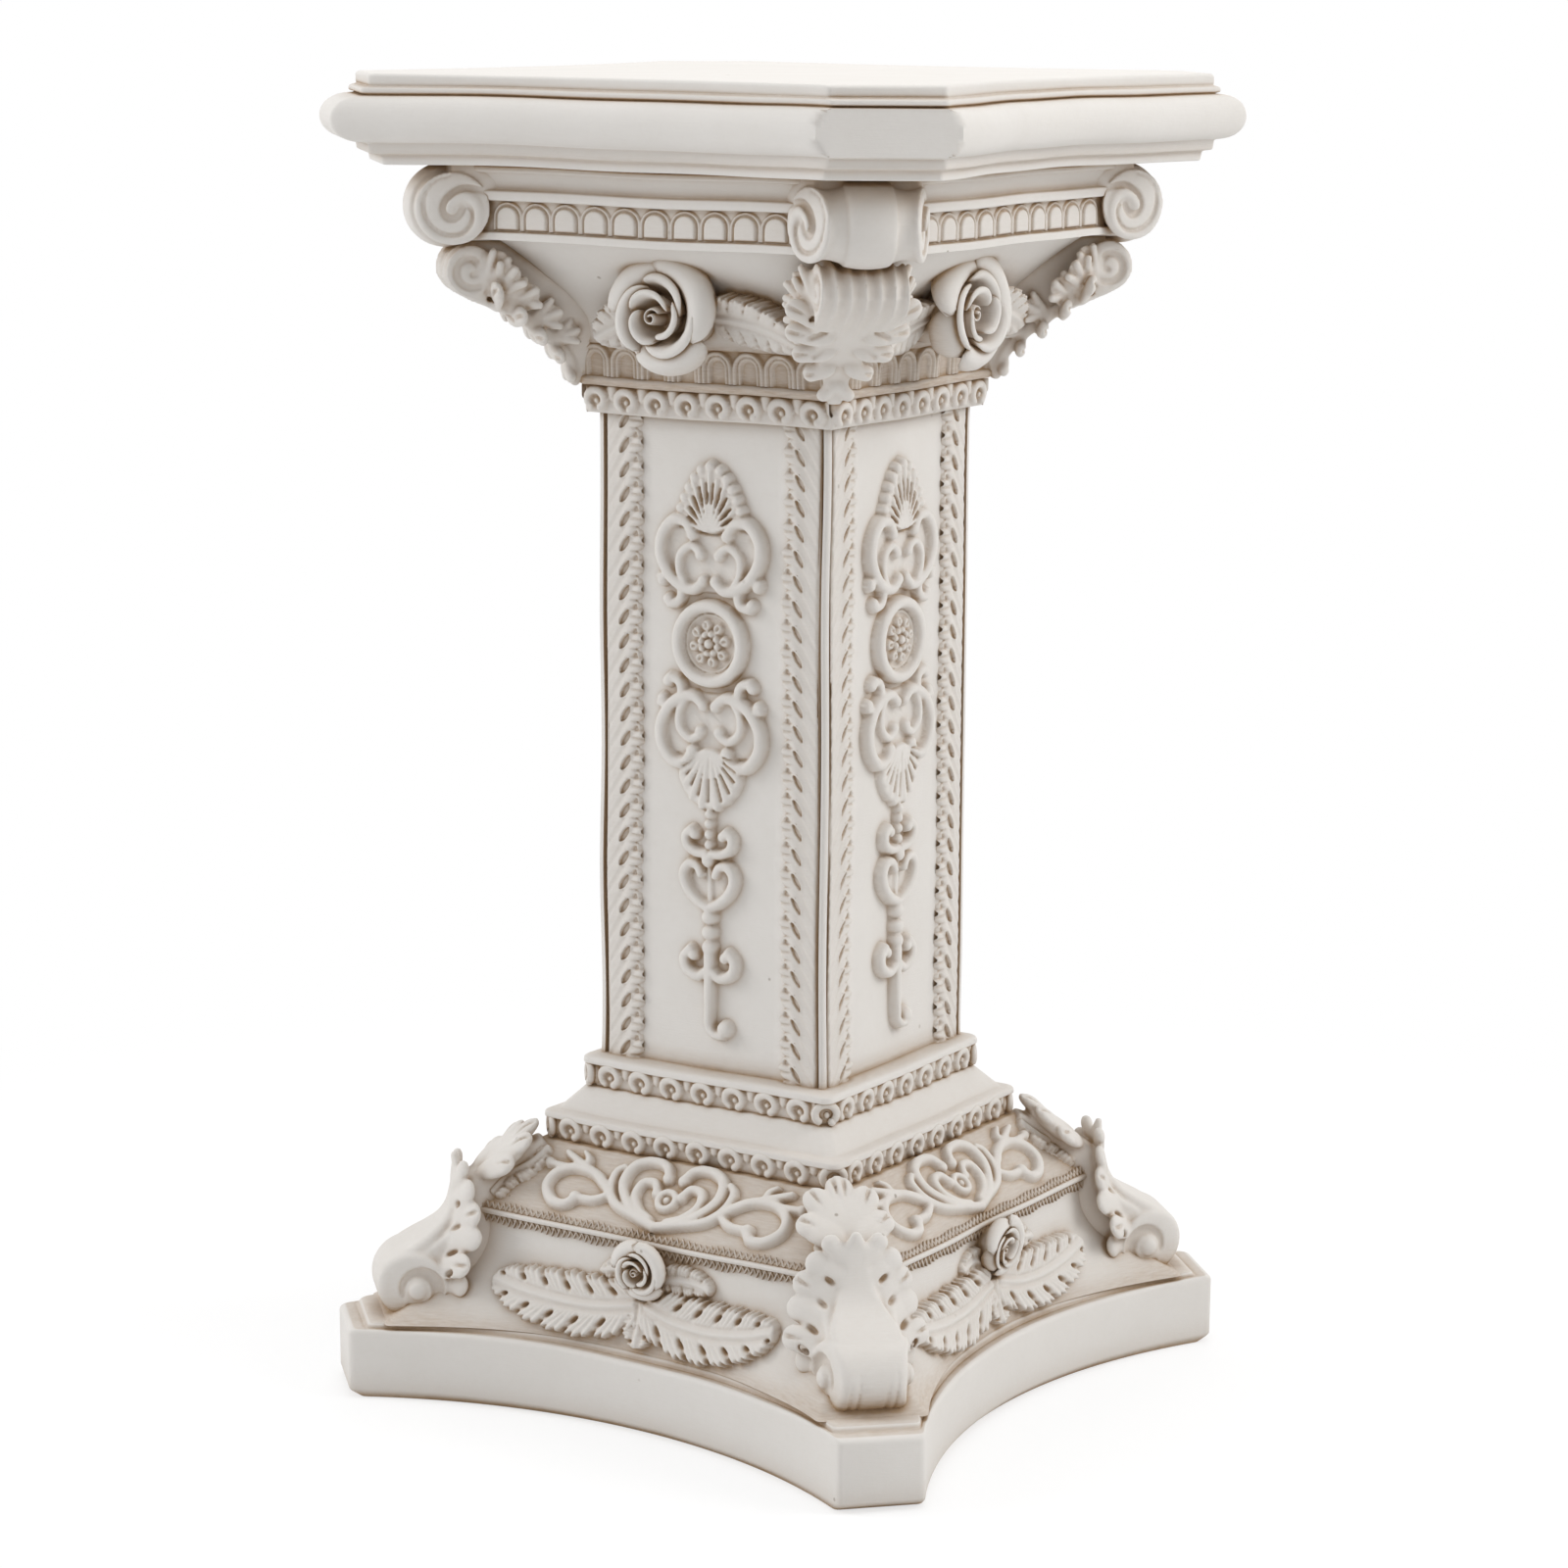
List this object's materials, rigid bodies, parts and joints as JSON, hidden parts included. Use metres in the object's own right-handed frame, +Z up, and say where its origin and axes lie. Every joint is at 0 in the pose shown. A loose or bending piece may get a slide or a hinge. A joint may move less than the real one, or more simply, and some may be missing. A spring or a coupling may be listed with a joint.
{
  "type": "pedestal",
  "caption": "Square cast pedestal column with a stepped and scrolled foot, a carved shaft, a scrolled capital and a moulded table top.",
  "frame": {"origin": "centre of the underside of the plinth, on the floor", "axes": "+Z up along the column's middle, +X and +Y square to two sides of the shaft"},
  "size_m": [0.337, 0.337, 0.62],
  "materials": {
    "stone": "matte"
  },
  "bodies": {
    "root": {"pedestal": "stone"}
  },
  "joints": []
}
